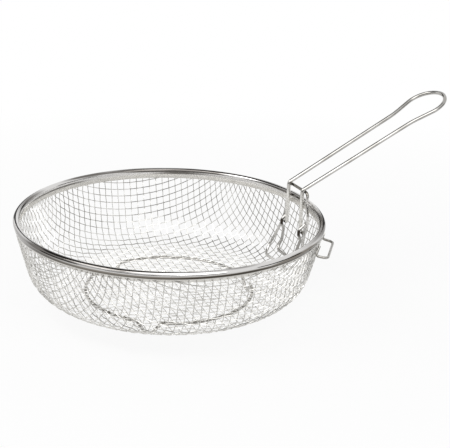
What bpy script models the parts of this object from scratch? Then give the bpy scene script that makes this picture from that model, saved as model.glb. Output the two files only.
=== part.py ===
"""Deep fryer basket: a woven wire bowl in a rolled rim, on a wire foot ring, with a folding handle.

Metres, +Z up. The feet stand on z = 0 and the handle points along +X.
Depths are measured downwards from the centre of the rim's bead.
"""
import math

import bmesh
import bpy
from mathutils import Matrix, Vector

# Clearances
GAP = 0.0003
FACET_SAG = 0.0003
SIDE_PLAY = 0.0005

# How finely round shapes are cut
ROUND_STEPS = 60
WIRE_SIDES = 8
BEND_STEP = math.radians(24)

# Rim: one strip folded over the edge of the mesh, with a rolled bead
RIM_RADIUS = 0.1175
RIM_HEIGHT = 0.0695
BEAD_RADIUS = 0.0025
RIM_SHEET = 0.0006
INNER_BAND_DEPTH = 0.0059
OUTER_LIP_DEPTH = 0.0030

# Woven bowl: its middle surface, and the lattice that stands for the fine weave
MESH_THICKNESS = 0.0018
MESH_TOP_DEPTH = 0.0020
WALL_BREAK_DEPTH = 0.0079
WALL_TAPER = math.radians(14.4)
BREAK_RADIUS = 0.008
CORNER_RADIUS = 0.0275
FLOOR_DEPTH = 0.0578
WEAVE_AZIMUTH = math.radians(-5.2)
NET_PITCH = 0.005
STRAND_PITCH = 6
STRAND_STEP = 2
STRAND_WIDTH = 0.0032
STRAND_THICKNESS = 0.0012
EDGE_BAND_HEIGHT = 0.0048
STRAND_END_TRIM = 0.0002
NODE_CLEARANCE = 0.0006

# Foot ring: one round wire with three dips for feet
RING_WIRE = 0.0025
RING_INSET = 0.0176
FOOT_COUNT = 3
FOOT_AZIMUTH = math.radians(-5.7)
FOOT_HALF_FLAT = 0.0030
FOOT_SLOPE_RUN = 0.0065
FOOT_BEND = 0.0022
RING_STEP = math.radians(8)

# Handle: one bent wire, two rails that meet in a round grip
HANDLE_WIRE = 0.0032
HANDLE_TILT = math.radians(26.5)
RAIL_HALF_SPACING = 0.0114
NECK_HALF_SPACING = 0.0133
NECK_BEND = 0.040
NECK_TO_GRIP = 0.0223
GRIP_CENTRE_REACH = 0.1313
GRIP_RADIUS = 0.018
GRIP_STEPS = 7
PIN_DEPTH = 0.022
PIN_OVERHANG = 0.0010
PIN_BEND = 0.0022

# Bracket: one closed wire frame, a stop bar above the rim and a wide loop down the inside of the wall
BRACKET_WIRE = 0.0024
STOP_INSET = 0.0049
STOP_HEIGHT = 0.0108
STOP_HALF_WIDTH = 0.0155
STOP_BEND = 0.0042
BRACKET_BEND = 0.0030
BRACKET_RIM_TOP = 0.0022
BRACKET_RIM_DEPTH = 0.0078
SHOULDER_HALF_WIDTH = 0.0186
SHOULDER_DEPTH = 0.0125
WAIST_PLAY = 0.0005
WAIST_BEND = 0.0080
WIDE_HALF_WIDTH = 0.0242
WIDE_RISE = 0.0158
WIDE_BEND = 0.0120
LOOP_FOOT_HALF_WIDTH = 0.0220
LOOP_FOOT_RISE = 0.0063
LOOP_FOOT_BEND = 0.0085
LOOP_STEP = 0.006

# Pin keeper: a wire with a strap over each of the handle's pins and a bar that joins them lower down
KEEPER_WIRE = 0.0024
STRAP_BEND = 0.0026
STRAP_HALF_CROWN = 0.0020
STRAP_HALF_LENGTH = 0.0065
STRAP_TAIL = 0.0020
KEEPER_BEND = 0.0030
KEEPER_FOOT_HALF_WIDTH = 0.0130
KEEPER_FOOT_RISE = 0.0123
KEEPER_FOOT_BEND = 0.0045

# Pan rest hook: a wire ear that stands off the outside of the wall
HOOK_WIRE = 0.0020
HOOK_AZIMUTH = math.radians(-36.7)
HOOK_STAND_OFF = 0.0080
HOOK_HALF_WIDTH = 0.0175
HOOK_ROOT_HALF_WIDTH = 0.0188
HOOK_BAR_DEPTH = 0.0140
HOOK_ROOT_DEPTH = 0.0125
HOOK_BEND = 0.0040
HOOK_TAB = 0.0050
HOOK_TAB_DEPTH = 0.0052

# Worked out from the sizes above
HALF_MESH = MESH_THICKNESS / 2
HANDLE_R = HANDLE_WIRE / 2
BRACKET_R = BRACKET_WIRE / 2
KEEPER_R = KEEPER_WIRE / 2
HOOK_R = HOOK_WIRE / 2
RING_R = RING_WIRE / 2
STOP_RADIUS = RIM_RADIUS - STOP_INSET
HOOK_REACH = RIM_RADIUS + HOOK_STAND_OFF
NECK_REACH = GRIP_CENTRE_REACH - NECK_TO_GRIP
GRIP_END_REACH = GRIP_CENTRE_REACH + GRIP_RADIUS
BEND_TURN = math.pi / 2 - WALL_TAPER
CORNER_RUN = CORNER_RADIUS * math.tan(BEND_TURN / 2)
BREAK_RUN = BREAK_RADIUS * math.tan(WALL_TAPER / 2)
FLOOR_CORNER = RIM_RADIUS - math.tan(WALL_TAPER) * (FLOOR_DEPTH - WALL_BREAK_DEPTH)
FLOOR_FLAT = FLOOR_CORNER - CORNER_RUN
RING_RADIUS = FLOOR_FLAT - RING_INSET
CORNER_TOP_DEPTH = FLOOR_DEPTH - CORNER_RUN * math.cos(WALL_TAPER)
WALL_LENGTH = (CORNER_TOP_DEPTH - WALL_BREAK_DEPTH) / math.cos(WALL_TAPER) - BREAK_RUN
WIDE_DEPTH = FLOOR_DEPTH - WIDE_RISE
LOOP_FOOT_DEPTH = FLOOR_DEPTH - LOOP_FOOT_RISE
KEEPER_FOOT_DEPTH = FLOOR_DEPTH - KEEPER_FOOT_RISE
KEEPER_KNEE_DEPTH = max(CORNER_TOP_DEPTH, PIN_DEPTH + STRAP_HALF_LENGTH + KEEPER_BEND)
STRAP_HALF_SPACING = RAIL_HALF_SPACING + HANDLE_R + KEEPER_R + SIDE_PLAY
PIN_HALF_SPAN = STRAP_HALF_SPACING + KEEPER_R + PIN_OVERHANG
WAIST_HALF_WIDTH = PIN_HALF_SPAN + WAIST_PLAY + BRACKET_R


def clear_scene():
    for obj in list(bpy.data.objects):
        bpy.data.objects.remove(obj, do_unlink=True)


def steel(name, colour, roughness):
    material = bpy.data.materials.new(name)
    material.use_nodes = True
    shader = material.node_tree.nodes["Principled BSDF"]
    shader.inputs["Base Color"].default_value = (*colour, 1.0)
    shader.inputs["Metallic"].default_value = 1.0
    shader.inputs["Roughness"].default_value = roughness
    return material


def add_object(name, bm, material):
    """Turn a bmesh into a smooth-shaded object with outward normals."""
    bmesh.ops.recalc_face_normals(bm, faces=bm.faces)
    mesh = bpy.data.meshes.new(name)
    bm.to_mesh(mesh)
    bm.free()
    mesh.materials.append(material)
    mesh.shade_smooth()
    mesh.set_sharp_from_angle(angle=math.radians(40))
    obj = bpy.data.objects.new(name, mesh)
    bpy.context.scene.collection.objects.link(obj)
    return obj


# Paths and sweeps
def rounded(corners, closed=False):
    """Points of a polyline whose corners, given as (point, bend radius), are rounded by arcs."""
    points = []
    count = len(corners)
    for index, (corner, radius) in enumerate(corners):
        at_end = not closed and index in (0, count - 1)
        if at_end or radius == 0.0:
            points.append(corner.copy())
            continue
        before = (corner - corners[index - 1][0]).normalized()
        after = (corners[(index + 1) % count][0] - corner).normalized()
        turn = before.angle(after)
        run = radius * math.tan(turn / 2)
        centre = corner + (after - before).normalized() * radius / math.cos(turn / 2)
        first = corner - before * run - centre
        last = corner + after * run - centre
        steps = max(2, math.ceil(turn / BEND_STEP))
        for step in range(steps + 1):
            angle = turn * step / steps
            mix = first * math.sin(turn - angle) + last * math.sin(angle)
            points.append(centre + mix / math.sin(turn))
    return points


def mirrored(half):
    """A symmetric list of corners from those of the +Y side, in order from end to middle."""
    other = [(Vector((point.x, -point.y, point.z)), radius) for point, radius in reversed(half)]
    return half + other


def finely(path, longest):
    """The path with its straight runs cut into steps no longer than longest."""
    result = []
    for start, end in zip(path, path[1:]):
        steps = math.ceil((end - start).length / longest)
        result += [start.lerp(end, step / steps) for step in range(steps)]
    return result + [path[-1]]


def directions(path, closed):
    """The direction of the wire at every point of its path."""
    result = []
    count = len(path)
    for index, point in enumerate(path):
        before = point - path[index - 1] if closed or index > 0 else Vector()
        after = path[(index + 1) % count] - point if closed or index < count - 1 else Vector()
        result.append((before.normalized() + after.normalized()).normalized())
    return result


def sweep(path, radius, first_side, closed=False, sides=None):
    """A round wire along a path; a flat of its section faces first_side, or the given sides."""
    bm = bmesh.new()
    rings = []
    side = first_side
    for index, direction in enumerate(directions(path, closed)):
        side = sides[index] if sides else side
        side = (side - direction * side.dot(direction)).normalized()
        across = direction.cross(side)
        ring = []
        for corner in range(WIRE_SIDES):
            angle = 2 * math.pi * (corner + 0.5) / WIRE_SIDES
            ring.append(bm.verts.new(path[index] + radius * (side * math.cos(angle) + across * math.sin(angle))))
        rings.append(ring)
    spans = len(rings) if closed else len(rings) - 1
    for span in range(spans):
        bridge(bm, rings[span], rings[(span + 1) % len(rings)])
    if not closed:
        bm.faces.new(rings[0])
        bm.faces.new(rings[-1])
    return bm


def bridge(bm, ring, other):
    count = len(ring)
    for corner in range(count):
        after = (corner + 1) % count
        bm.faces.new((ring[corner], ring[after], other[after], other[corner]))


def revolve(section):
    """A closed ring from a closed section of (radius, height) points."""
    bm = bmesh.new()
    rings = []
    for step in range(ROUND_STEPS):
        angle = 2 * math.pi * step / ROUND_STEPS
        rings.append([bm.verts.new((r * math.cos(angle), r * math.sin(angle), z)) for r, z in section])
    for step in range(ROUND_STEPS):
        bridge(bm, rings[step], rings[(step + 1) % ROUND_STEPS])
    return bm


def arc(radius, start, end, steps):
    """Points (across, up) of an arc about the origin, angles in radians."""
    angles = [start + (end - start) * step / steps for step in range(steps + 1)]
    return [(radius * math.cos(angle), radius * math.sin(angle)) for angle in angles]


# Shape of the bowl
def wall_radius(depth, inset=0.0):
    """Radius of the mesh's middle surface at a depth, moved inwards by inset along its normal."""
    if depth > CORNER_TOP_DEPTH:
        rise = depth - (FLOOR_DEPTH - CORNER_RADIUS)
        return FLOOR_FLAT + math.sqrt((CORNER_RADIUS - inset) ** 2 - rise ** 2)
    tapered = RIM_RADIUS - math.tan(WALL_TAPER) * (depth - WALL_BREAK_DEPTH) - inset / math.cos(WALL_TAPER)
    return min(RIM_RADIUS - inset, tapered)


def on_wall(lateral, depth, wire_radius):
    """Centre of a wire that lies on the inside of the mesh, lateral metres beside the handle's plane."""
    radius = wall_radius(depth, HALF_MESH + GAP + FACET_SAG + wire_radius)
    return Vector((math.sqrt(radius ** 2 - lateral ** 2), lateral, -depth))


def bowl_profile(length):
    """Radius, height above the floor and slope of the middle surface, length metres out from its centre."""
    if length < FLOOR_FLAT:
        return length, 0.0, 0.0
    length -= FLOOR_FLAT
    if length < CORNER_RADIUS * BEND_TURN:
        slope = length / CORNER_RADIUS
        return (FLOOR_FLAT + CORNER_RADIUS * math.sin(slope), CORNER_RADIUS * (1 - math.cos(slope)), slope)
    length -= CORNER_RADIUS * BEND_TURN
    wall_foot = FLOOR_FLAT + CORNER_RADIUS * math.sin(BEND_TURN)
    foot_height = CORNER_RADIUS * (1 - math.cos(BEND_TURN))
    if length < WALL_LENGTH:
        return (wall_foot + length * math.sin(WALL_TAPER), foot_height + length * math.cos(WALL_TAPER), BEND_TURN)
    length -= WALL_LENGTH
    break_centre = RIM_RADIUS - BREAK_RADIUS
    break_height = foot_height + WALL_LENGTH * math.cos(WALL_TAPER) + BREAK_RADIUS * math.sin(WALL_TAPER)
    if length < BREAK_RADIUS * WALL_TAPER:
        left = WALL_TAPER - length / BREAK_RADIUS
        return (break_centre + BREAK_RADIUS * math.cos(left), break_height - BREAK_RADIUS * math.sin(left),
                math.pi / 2 - left)
    return RIM_RADIUS, break_height + length - BREAK_RADIUS * WALL_TAPER, math.pi / 2


def surface_point(length, azimuth):
    radius, height, slope = bowl_profile(length)
    return Vector((radius * math.cos(azimuth), radius * math.sin(azimuth), height - FLOOR_DEPTH)), radius, slope


def net_step(one, two, guess):
    """The point on the bowl one pitch from both of two neighbours, as (length, azimuth)."""
    length, azimuth = guess
    for _ in range(12):
        point, radius, slope = surface_point(length, azimuth)
        outward = Vector((math.cos(azimuth), math.sin(azimuth), 0.0))
        along = outward * math.cos(slope) + Vector((0.0, 0.0, math.sin(slope)))
        around = Vector((-outward.y, outward.x, 0.0)) * radius
        first = point - one
        second = point - two
        a, b, c, d = first.dot(along), first.dot(around), second.dot(along), second.dot(around)
        e = (first.length_squared - NET_PITCH ** 2) / 2
        f = (second.length_squared - NET_PITCH ** 2) / 2
        size = a * d - b * c
        length -= (e * d - b * f) / size
        azimuth -= (a * f - e * c) / size
    return length, azimuth


def weave_net(reach):
    """Crossings of one quarter of a square weave pressed into the bowl: every side stays one pitch long."""
    net = {}
    for step in range(reach + 1):
        net[step, 0] = (step * NET_PITCH, 0.0)
        net[0, step] = (step * NET_PITCH, math.pi / 2)
    for total in range(2, 2 * reach + 1):
        for i in range(max(1, total - reach), min(reach, total - 1) + 1):
            j = total - i
            one = surface_point(*net[i - 1, j])[0]
            two = surface_point(*net[i, j - 1])[0]
            back = surface_point(*net[i - 1, j - 1])[0]
            ahead = one + two - back
            lengths = net[i - 1, j][0] + net[i, j - 1][0] - net[i - 1, j - 1][0]
            net[i, j] = net_step(one, two, (lengths, math.atan2(ahead.y, ahead.x)))
    return {key: surface_point(*value)[0] for key, value in net.items()}


class Weave:
    """Places and directions of the crossings over the whole bowl, turned to the weave's azimuth."""

    def __init__(self, reach):
        self.quarter = weave_net(reach)
        self.reach = reach
        self.turn = Matrix.Rotation(WEAVE_AZIMUTH, 3, "Z")

    def point(self, i, j):
        base = self.quarter[abs(i), abs(j)]
        return self.turn @ Vector((math.copysign(base.x, i), math.copysign(base.y, j), base.z))

    def frame(self, i, j):
        """The crossing's place, its two wire directions and its normal towards the inside."""
        warp = (self.point(i + 1, j) - self.point(i - 1, j)).normalized()
        weft = (self.point(i, j + 1) - self.point(i, j - 1)).normalized()
        return self.point(i, j), warp, weft, warp.cross(weft).normalized()


# The lattice of woven strands
LEVELS = (-HALF_MESH, HALF_MESH - STRAND_THICKNESS, STRAND_THICKNESS - HALF_MESH, HALF_MESH)
ARMS = ((1, 0), (0, 1), (-1, 0), (0, -1))


def block_corners(weave, i, j):
    """The four corners of a crossing, each at the strands' four levels."""
    place, warp, weft, normal = weave.frame(i, j)
    half = STRAND_WIDTH / 2 / warp.cross(weft).length
    signs = ((1, -1), (1, 1), (-1, 1), (-1, -1))
    return [[place + half * (u * warp + v * weft) + normal * level for level in LEVELS] for u, v in signs]


def strand_section(weave, i, j, arm, low, high):
    """Four corners of a strand between crossings, right and left as seen along the arm."""
    place, warp, weft, normal = weave.frame(i, j)
    along = (warp * arm[0] + weft * arm[1]).normalized()
    left = normal.cross(along) * STRAND_WIDTH / 2
    return [place - left + normal * low, place + left + normal * low,
            place + left + normal * high, place - left + normal * high]


def levels_at(over, share):
    """Lower and upper face of a strand at a share of its way from over one strand to under the next."""
    start = HALF_MESH if over else STRAND_THICKNESS - HALF_MESH
    end = STRAND_THICKNESS - HALF_MESH if over else HALF_MESH
    high = start + (end - start) * share
    return high - STRAND_THICKNESS, high


def crossing_ring(block, side, over):
    """Six corners where an arm leaves a crossing: right bottom, left bottom, left middle and so on."""
    right, left = block[side], block[(side + 1) % 4]
    low, middle, high = (1, 2, 3) if over else (0, 1, 2)
    return [right[low], left[low], left[middle], left[high], right[high], right[middle]]


def bridge_arm(bm, six, four):
    """Faces between a crossing's six corners and a strand's four."""
    right_low, left_low, left_middle, left_high, right_high, right_middle = six
    bm.faces.new((right_low, left_low, four[1], four[0]))
    bm.faces.new((left_low, left_middle, left_high, four[2], four[1]))
    bm.faces.new((left_high, right_high, four[3], four[2]))
    bm.faces.new((right_high, right_middle, right_low, four[0], four[3]))


def cut_at_band(weave, i, j, arm, limit):
    """Share of the last step along an arm at which it reaches the height limit."""
    below = weave.point(i, j).z
    above = weave.point(i + arm[0] * STRAND_STEP, j + arm[1] * STRAND_STEP).z
    return (limit - below) / (above - below)


def add_arm(bm, weave, blocks, node, side, over, limit):
    """One strand from a crossing to the next one, or up into the edge band."""
    arm = ARMS[side]
    i, j = node[0] * STRAND_PITCH, node[1] * STRAND_PITCH
    start = crossing_ring(blocks[node], side, over)
    neighbour = (node[0] + arm[0], node[1] + arm[1])
    if neighbour in blocks:
        if side > 1:
            return
        end = crossing_ring(blocks[neighbour], side + 2, not over)
        end = [end[1], end[0], end[5], end[4], end[3], end[2]]
        if weave.point(i, j).z == weave.point(i + arm[0] * STRAND_PITCH, j + arm[1] * STRAND_PITCH).z:
            bridge(bm, start, end)
            return
        last = None
        for step in range(STRAND_STEP, STRAND_PITCH, STRAND_STEP):
            low, high = levels_at(over, step / STRAND_PITCH)
            corners = strand_section(weave, i + arm[0] * step, j + arm[1] * step, arm, low, high)
            ring = [bm.verts.new(corner) for corner in corners]
            if last:
                bridge(bm, last, ring)
            else:
                bridge_arm(bm, start, ring)
            last = ring
        bridge_arm(bm, end, last)
        return
    high = LEVELS[3] - STRAND_END_TRIM if over else LEVELS[2]
    low = LEVELS[1] if over else LEVELS[0] + STRAND_END_TRIM
    last = None
    while True:
        i, j = i + arm[0] * STRAND_STEP, j + arm[1] * STRAND_STEP
        corners = strand_section(weave, i, j, arm, low, high)
        done = weave.point(i, j).z > limit
        if done:
            previous_i, previous_j = i - arm[0] * STRAND_STEP, j - arm[1] * STRAND_STEP
            before = strand_section(weave, previous_i, previous_j, arm, low, high)
            share = cut_at_band(weave, previous_i, previous_j, arm, limit)
            corners = [old.lerp(new, share) for old, new in zip(before, corners)]
        ring = [bm.verts.new(corner) for corner in corners]
        if last:
            bridge(bm, last, ring)
        else:
            bridge_arm(bm, start, ring)
        last = ring
        if done:
            break
    bm.faces.new(last)


def build_lattice(weave):
    """All crossings and strands as one closed shape, with loose ends that run into the edge band."""
    bm = bmesh.new()
    band_foot = -MESH_TOP_DEPTH - EDGE_BAND_HEIGHT
    blocks = {}
    span = weave.reach // STRAND_PITCH - 1
    for a in range(-span, span + 1):
        for b in range(-span, span + 1):
            corners = block_corners(weave, a * STRAND_PITCH, b * STRAND_PITCH)
            if max(corner[3].z for corner in corners) < band_foot - NODE_CLEARANCE:
                blocks[a, b] = [[bm.verts.new(point) for point in corner] for corner in corners]
    limit = band_foot + EDGE_BAND_HEIGHT / 2
    for node, block in blocks.items():
        bm.faces.new([corner[0] for corner in block])
        bm.faces.new([corner[3] for corner in block])
        warp_over = (node[0] + node[1]) % 2 == 0
        for side in range(4):
            over = warp_over == (side % 2 == 0)
            right, left = block[side], block[(side + 1) % 4]
            shelf = (0, 1) if over else (2, 3)
            bm.faces.new((right[shelf[0]], left[shelf[0]], left[shelf[1]], right[shelf[1]]))
            add_arm(bm, weave, blocks, node, side, over, limit)
    return bm


def unite(target, other):
    """Join other into target as one closed body and remove other."""
    modifier = target.modifiers.new("join", "BOOLEAN")
    modifier.operation = "UNION"
    modifier.solver = "EXACT"
    modifier.use_self = True
    modifier.object = other
    graph = bpy.context.evaluated_depsgraph_get()
    mesh = bpy.data.meshes.new_from_object(target.evaluated_get(graph))
    target.modifiers.clear()
    target.data = mesh
    bpy.data.objects.remove(other, do_unlink=True)


# The pieces
def make_rim(material):
    sheet = RIM_SHEET / 2
    leg = HALF_MESH + GAP + sheet
    outer = math.acos((leg + sheet) / BEAD_RADIUS)
    hollow_radius = BEAD_RADIUS - RIM_SHEET
    inner = math.acos((leg - sheet) / hollow_radius)
    section = [(-leg - sheet, -INNER_BAND_DEPTH)]
    section += arc(BEAD_RADIUS, math.pi + outer, -outer, 8)
    section += [(leg + sheet, -OUTER_LIP_DEPTH), (leg - sheet, -OUTER_LIP_DEPTH)]
    section += arc(hollow_radius, -inner, math.pi + inner, 6)
    section += [(-leg + sheet, -INNER_BAND_DEPTH)]
    return add_object("rim", revolve([(RIM_RADIUS + x, z) for x, z in section]), material)


def make_mesh_bowl(material):
    band_foot = -MESH_TOP_DEPTH - EDGE_BAND_HEIGHT
    inner, outer = RIM_RADIUS - HALF_MESH, RIM_RADIUS + HALF_MESH
    section = [(inner, band_foot), (outer, band_foot), (outer, -MESH_TOP_DEPTH), (inner, -MESH_TOP_DEPTH)]
    band = add_object("edge_band", revolve(section), material)
    bowl = add_object("mesh_bowl", build_lattice(Weave(8 * STRAND_PITCH)), material)
    unite(bowl, band)
    bowl.data.shade_smooth()
    bowl.data.set_sharp_from_angle(angle=math.radians(40))
    return bowl


def make_foot_ring(material):
    height = -FLOOR_DEPTH - HALF_MESH - GAP - RING_R
    foot_height = -RIM_HEIGHT + RING_R * math.cos(math.pi / WIRE_SIDES)
    corners = []
    half_foot = (FOOT_HALF_FLAT + FOOT_SLOPE_RUN) / RING_RADIUS
    open_arc = 2 * math.pi / FOOT_COUNT - 2 * half_foot
    steps = math.ceil(open_arc / RING_STEP)
    for foot in range(FOOT_COUNT):
        centre = FOOT_AZIMUTH + foot * 2 * math.pi / FOOT_COUNT
        half_flat = FOOT_HALF_FLAT / RING_RADIUS
        stops = [(centre - half_foot, height, FOOT_BEND), (centre - half_flat, foot_height, FOOT_BEND)]
        stops += [(centre + half_flat, foot_height, FOOT_BEND), (centre + half_foot, height, FOOT_BEND)]
        stops += [(centre + half_foot + open_arc * step / steps, height, 0.0) for step in range(1, steps)]
        for angle, level, bend in stops:
            place = Vector((RING_RADIUS * math.cos(angle), RING_RADIUS * math.sin(angle), level))
            corners.append((place, bend))
    path = rounded(corners, closed=True)
    outward = [Vector((point.x, point.y, 0.0)).normalized() for point in path]
    return add_object("foot_ring", sweep(path, RING_R, None, closed=True, sides=outward), material)


def pin_axis():
    """A point on the handle's hinge line, in the middle between its two pins."""
    wall = on_wall(PIN_HALF_SPAN, PIN_DEPTH, HANDLE_R)
    return Vector((wall.x, 0.0, -PIN_DEPTH))


def handle_corners():
    """Corners of the handle's +Y half, from its pin out to the grip."""
    axis = pin_axis()
    stop = Vector((STOP_RADIUS, 0.0, STOP_HEIGHT))
    bend = HANDLE_R + BRACKET_R + GAP
    to_stop = stop - axis
    rail_angle = math.atan2(to_stop.z, to_stop.x) + math.asin(bend / to_stop.length)
    half_turn = (rail_angle - HANDLE_TILT) / 2
    outwards = math.pi / 2 + (rail_angle + HANDLE_TILT) / 2
    corner = stop + Vector((math.cos(outwards), 0.0, math.sin(outwards))) * bend / math.cos(half_turn)
    forward = Vector((math.cos(HANDLE_TILT), 0.0, math.sin(HANDLE_TILT)))
    half = [
        (axis + Vector((0.0, PIN_HALF_SPAN, 0.0)), 0.0),
        (axis + Vector((0.0, RAIL_HALF_SPACING, 0.0)), PIN_BEND),
        (corner + Vector((0.0, RAIL_HALF_SPACING, 0.0)), bend),
        (corner + forward * NECK_REACH + Vector((0.0, NECK_HALF_SPACING, 0.0)), NECK_BEND),
    ]
    flare = math.asin(GRIP_RADIUS / math.hypot(NECK_TO_GRIP, NECK_HALF_SPACING))
    flare -= math.atan2(NECK_HALF_SPACING, NECK_TO_GRIP)
    for across, up in arc(GRIP_RADIUS, math.pi / 2 + flare, 0.0, GRIP_STEPS)[:-1]:
        place = corner + forward * (GRIP_CENTRE_REACH + across)
        half.append((place + Vector((0.0, up, 0.0)), 0.0))
    tip = corner + forward * GRIP_END_REACH
    return half, tip


def make_handle(material):
    half, tip = handle_corners()
    other = [(Vector((point.x, -point.y, point.z)), bend) for point, bend in reversed(half)]
    axis = pin_axis()
    path = [point - axis for point in rounded(half + [(tip, 0.0)] + other)]
    return add_object("handle", sweep(path, HANDLE_R, Vector((1.0, 0.0, 0.0))), material)


def make_bracket(material):
    beside_bead = math.sqrt(RIM_RADIUS ** 2 - SHOULDER_HALF_WIDTH ** 2)
    rim_x = beside_bead - BEAD_RADIUS - BRACKET_R - GAP - FACET_SAG
    over_rim = [
        (on_wall(SHOULDER_HALF_WIDTH, SHOULDER_DEPTH, BRACKET_R), 0.0),
        (Vector((rim_x, SHOULDER_HALF_WIDTH, -BRACKET_RIM_DEPTH)), BRACKET_BEND),
        (Vector((rim_x, STOP_HALF_WIDTH, BRACKET_RIM_TOP)), BRACKET_BEND),
        (Vector((STOP_RADIUS, STOP_HALF_WIDTH, STOP_HEIGHT)), STOP_BEND),
    ]
    loop = [
        (Vector((0.0, -SHOULDER_HALF_WIDTH, -SHOULDER_DEPTH)), 0.0),
        (Vector((0.0, -WAIST_HALF_WIDTH, -PIN_DEPTH)), WAIST_BEND),
        (Vector((0.0, -WIDE_HALF_WIDTH, -WIDE_DEPTH)), WIDE_BEND),
        (Vector((0.0, -LOOP_FOOT_HALF_WIDTH, -LOOP_FOOT_DEPTH)), LOOP_FOOT_BEND),
    ]
    flat = finely(rounded(mirrored(loop)), LOOP_STEP)
    down_wall = [on_wall(point.y, -point.z, BRACKET_R) for point in flat]
    path = rounded(mirrored(over_rim)) + down_wall[1:-1]
    return add_object("handle_bracket", sweep(path, BRACKET_R, Vector((1.0, 0.0, 0.0)), closed=True), material)


def make_keeper(material):
    axis = pin_axis()
    crown_x = axis.x - HANDLE_R - KEEPER_R - GAP
    tail_depth = PIN_DEPTH - STRAP_HALF_LENGTH - STRAP_TAIL
    half = [
        (on_wall(STRAP_HALF_SPACING, tail_depth, KEEPER_R), 0.0),
        (on_wall(STRAP_HALF_SPACING, PIN_DEPTH - STRAP_HALF_LENGTH, KEEPER_R), STRAP_BEND),
        (Vector((crown_x, STRAP_HALF_SPACING, STRAP_HALF_CROWN - PIN_DEPTH)), STRAP_BEND),
        (Vector((crown_x, STRAP_HALF_SPACING, -STRAP_HALF_CROWN - PIN_DEPTH)), STRAP_BEND),
        (on_wall(STRAP_HALF_SPACING, PIN_DEPTH + STRAP_HALF_LENGTH, KEEPER_R), STRAP_BEND),
        (on_wall(KEEPER_FOOT_HALF_WIDTH, KEEPER_KNEE_DEPTH, KEEPER_R), KEEPER_BEND),
        (on_wall(KEEPER_FOOT_HALF_WIDTH, KEEPER_FOOT_DEPTH, KEEPER_R), KEEPER_FOOT_BEND),
    ]
    return add_object("pin_keeper", sweep(rounded(mirrored(half)), KEEPER_R, Vector((1.0, 0.0, 0.0))), material)


def make_hook(material):
    clear = HOOK_R + GAP + FACET_SAG
    root = wall_radius(HOOK_ROOT_DEPTH, -HALF_MESH - clear)
    tab_end = HOOK_ROOT_HALF_WIDTH - HOOK_TAB
    tab_x = math.sqrt((RIM_RADIUS + HALF_MESH + clear) ** 2 - tab_end ** 2)
    root_x = math.sqrt(root ** 2 - HOOK_ROOT_HALF_WIDTH ** 2)
    half = [
        (Vector((tab_x, tab_end, -HOOK_TAB_DEPTH)), 0.0),
        (Vector((root_x, HOOK_ROOT_HALF_WIDTH, -HOOK_ROOT_DEPTH)), HOOK_BEND / 2),
        (Vector((HOOK_REACH, HOOK_HALF_WIDTH, -HOOK_BAR_DEPTH)), HOOK_BEND),
    ]
    turn = Matrix.Rotation(HOOK_AZIMUTH, 3, "Z")
    path = [turn @ point for point in rounded(mirrored(half))]
    return add_object("pan_rest_hook", sweep(path, HOOK_R, turn @ Vector((1.0, 0.0, 0.0))), material)


def bowl_centre():
    """Centre of the bead's circle: it puts the middle of the part's length on the origin."""
    handle_end = handle_corners()[1].x + HANDLE_R
    far_side = -RIM_RADIUS - BEAD_RADIUS
    return Vector((-(handle_end + far_side) / 2, 0.0, RIM_HEIGHT))


def build():
    clear_scene()
    polished = steel("polished_rim_steel", (0.62, 0.61, 0.60), 0.16)
    woven = steel("woven_steel", (0.58, 0.57, 0.55), 0.24)
    ring_wire = steel("foot_ring_steel", (0.56, 0.55, 0.54), 0.22)
    handle_wire = steel("handle_steel", (0.62, 0.61, 0.60), 0.18)
    bracket_wire = steel("bracket_steel", (0.58, 0.57, 0.56), 0.22)
    keeper_wire = steel("keeper_steel", (0.54, 0.53, 0.52), 0.26)
    hook_wire = steel("hook_steel", (0.58, 0.57, 0.56), 0.20)
    centre = bowl_centre()
    fixed = [make_rim(polished), make_mesh_bowl(woven), make_foot_ring(ring_wire), make_bracket(bracket_wire)]
    fixed += [make_keeper(keeper_wire), make_hook(hook_wire)]
    for obj in fixed:
        obj.data.transform(Matrix.Translation(centre))
    handle = make_handle(handle_wire)
    handle.location = centre + pin_axis()


build()
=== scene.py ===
"""Deep fryer basket: the real weave, round wires, the rolled rim and their steel finishes."""
import math

import bpy
import numpy as np
from mathutils import Matrix, Vector


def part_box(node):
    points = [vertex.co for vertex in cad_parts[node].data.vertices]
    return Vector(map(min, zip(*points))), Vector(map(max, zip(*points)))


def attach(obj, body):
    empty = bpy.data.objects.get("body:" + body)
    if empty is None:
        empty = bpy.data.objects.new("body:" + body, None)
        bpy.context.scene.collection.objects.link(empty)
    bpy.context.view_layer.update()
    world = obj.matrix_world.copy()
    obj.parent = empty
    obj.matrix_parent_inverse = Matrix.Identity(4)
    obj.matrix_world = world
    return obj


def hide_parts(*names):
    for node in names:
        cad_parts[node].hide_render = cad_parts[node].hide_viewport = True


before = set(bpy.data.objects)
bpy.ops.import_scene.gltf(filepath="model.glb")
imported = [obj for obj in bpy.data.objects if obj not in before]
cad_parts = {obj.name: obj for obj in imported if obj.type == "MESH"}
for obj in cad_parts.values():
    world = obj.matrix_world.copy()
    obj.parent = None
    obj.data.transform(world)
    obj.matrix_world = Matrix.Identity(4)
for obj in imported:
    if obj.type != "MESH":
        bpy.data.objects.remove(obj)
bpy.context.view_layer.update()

# Shape shared with the frame, in metres; depths go down from the centre of the rim's bead
GAP = 0.0003
FACET_SAG = 0.0003
SIDE_PLAY = 0.0005
RIM_RADIUS = 0.1175
RIM_HEIGHT = 0.0695
BEAD_RADIUS = 0.0025
RIM_SHEET = 0.0006
INNER_BAND_DEPTH = 0.0059
OUTER_LIP_DEPTH = 0.0030
HALF_MESH = 0.0009
MESH_TOP_DEPTH = 0.0020
WALL_BREAK_DEPTH = 0.0079
WALL_TAPER = math.radians(14.4)
BREAK_RADIUS = 0.008
CORNER_RADIUS = 0.0275
FLOOR_DEPTH = 0.0578
WEAVE_AZIMUTH = math.radians(-5.2)
WEAVE_PITCH = 0.0057
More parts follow.
